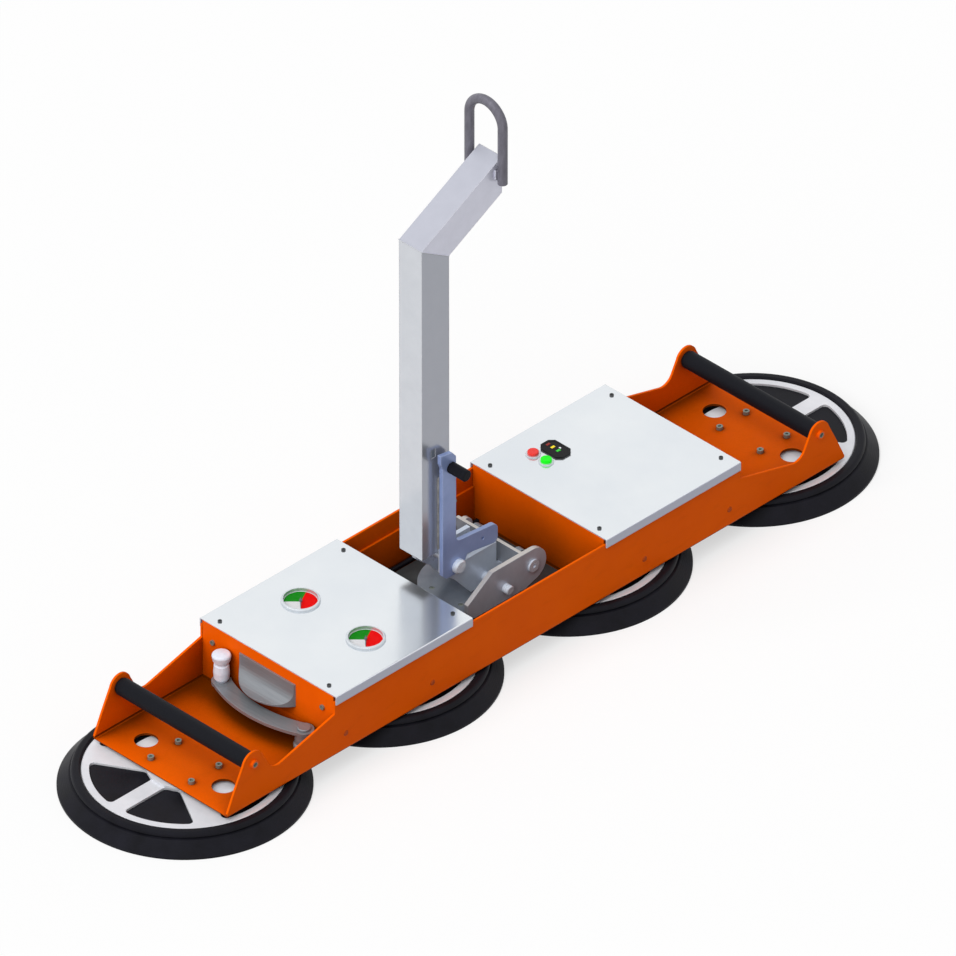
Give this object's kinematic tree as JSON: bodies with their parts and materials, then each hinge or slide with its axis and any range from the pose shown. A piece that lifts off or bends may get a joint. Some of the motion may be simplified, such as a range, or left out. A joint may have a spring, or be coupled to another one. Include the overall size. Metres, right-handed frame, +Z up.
{
  "type": "vacuum glass panel lifter",
  "caption": "Vacuum lifter for glass panels: a folded tray on a row of suction pads, with a swivelling, tilting cranked arm and a lifting eye.",
  "frame": {"origin": "centre of the row of pads, on the plane that their lips rest on", "axes": "+X along the tray towards the control cover, +Y across the tray, +Z up"},
  "size_m": [1.66, 0.4, 0.9766],
  "materials": {
    "orange_paint": "semi-gloss orange powder coat",
    "cover_sheet": "satin stainless sheet",
    "arm_steel": "zinc-plated, satin",
    "bracket_steel": "plain steel, laser cut and welded",
    "lever_steel": "blue-grey finish, satin",
    "eye_steel": "dark drawn rod",
    "valve_steel": "satin stainless",
    "zinc": "bright zinc plating",
    "pad_casting": "fine cast aluminium",
    "pad_rubber": "moulded black rubber",
    "grip_rubber": "black foam rubber sleeve",
    "bezel_chrome": "polished",
    "dial_face": "printed sectors",
    "needle_black": "matt black",
    "lens_glass": "clear",
    "red_plastic": "gloss",
    "green_plastic": "gloss",
    "display_black": "gloss",
    "white_plastic": "satin",
    "tank_paint": "black",
    "hose_rubber": "black",
    "equipment": "plain"
  },
  "bodies": {
    "frame": {"tray": "orange_paint", "bulkhead_left_outer": "orange_paint", "bulkhead_left_inner": "orange_paint", "bulkhead_right_inner": "orange_paint", "bulkhead_right_outer": "orange_paint", "liner_plates": "orange_paint", "base_plate": "bracket_steel", "slew_ring": "bracket_steel", "base_screws": "zinc", "pad_plate_1": "pad_casting", "pad_plate_2": "pad_casting", "pad_plate_3": "pad_casting", "pad_plate_4": "pad_casting", "pad_seal_1": "pad_rubber", "pad_seal_2": "pad_rubber", "pad_seal_3": "pad_rubber", "pad_seal_4": "pad_rubber", "pad_mats": "pad_rubber", "pad_spacers": "pad_casting", "pad_screws": "zinc", "gauge_cover": "cover_sheet", "control_cover": "cover_sheet", "cover_screws": "zinc", "gauge_case_front": "bezel_chrome", "gauge_case_back": "bezel_chrome", "gauge_dials": "dial_face", "gauge_lenses": "lens_glass", "button_sockets": "bezel_chrome", "battery_display": "display_black", "display_window": "display_black", "handle_left": "grip_rubber", "handle_right": "grip_rubber", "handle_screws": "zinc", "wall_rivets": "zinc", "bulkhead_screws": "zinc", "valve_guard": "valve_steel", "valve_block": "valve_steel", "vacuum_tanks": "tank_paint", "vacuum_hoses": "hose_rubber", "battery": "equipment", "pump_head": "equipment", "pump_motor": "equipment", "control_box": "equipment"},
    "turntable": {"turntable": "bracket_steel", "tilt_pin": "zinc"},
    "arm": {"arm_tube": "arm_steel", "foot_plates": "bracket_steel", "tilt_bracket": "bracket_steel", "bracket_pin": "zinc", "lock_pin": "white_plastic", "stop_screw": "lever_steel", "lifting_eye": "eye_steel"},
    "lock_lever": {"lock_lever": "lever_steel", "lever_grip": "grip_rubber"},
    "release_lever": {"valve_lever": "valve_steel", "valve_knob": "white_plastic"},
    "red_button": {"red_button": "red_plastic"},
    "green_button": {"green_button": "green_plastic"},
    "front_needle": {"gauge_needle_front": "needle_black"},
    "back_needle": {"gauge_needle_back": "needle_black"}
  },
  "joints": [
    {"name": "swivel", "type": "hinge", "parent": "frame", "child": "turntable", "pos_m": [0, 0, 0.065], "axis": [0, 0, 1], "continuous": true},
    {"name": "tilt", "type": "hinge", "parent": "turntable", "child": "arm", "pos_m": [0.0575, 0, 0.1118], "axis": [0, 1, 0], "range_deg": [0, 90]},
    {"name": "lock_release", "type": "hinge", "parent": "arm", "child": "lock_lever", "pos_m": [-0.072, -0.0372, 0.1578], "axis": [0, 1, 0], "range_deg": [-12, 0], "stiffness_Nm_per_rad": 4, "springref_deg": 8.59},
    {"name": "valve_swing", "type": "hinge", "parent": "frame", "child": "release_lever", "pos_m": [-0.466, -0.098, 0.0673], "axis": [0, 0, 1], "range_deg": [0, 30]},
    {"name": "red_push", "type": "slide", "parent": "frame", "child": "red_button", "axis": [0, 0, -1], "range_m": [0, 0.003], "stiffness_N_per_m": 600, "springref_m": -0.002},
    {"name": "green_push", "type": "slide", "parent": "frame", "child": "green_button", "axis": [0, 0, -1], "range_m": [0, 0.003], "stiffness_N_per_m": 600, "springref_m": -0.002},
    {"name": "front_gauge_turn", "type": "hinge", "parent": "frame", "child": "front_needle", "pos_m": [-0.305, -0.072, 0.15], "axis": [0, 0, 1], "range_deg": [0, 270]},
    {"name": "back_gauge_turn", "type": "hinge", "parent": "frame", "child": "back_needle", "pos_m": [-0.305, 0.072, 0.15], "axis": [0, 0, 1], "range_deg": [0, 270]}
  ]
}
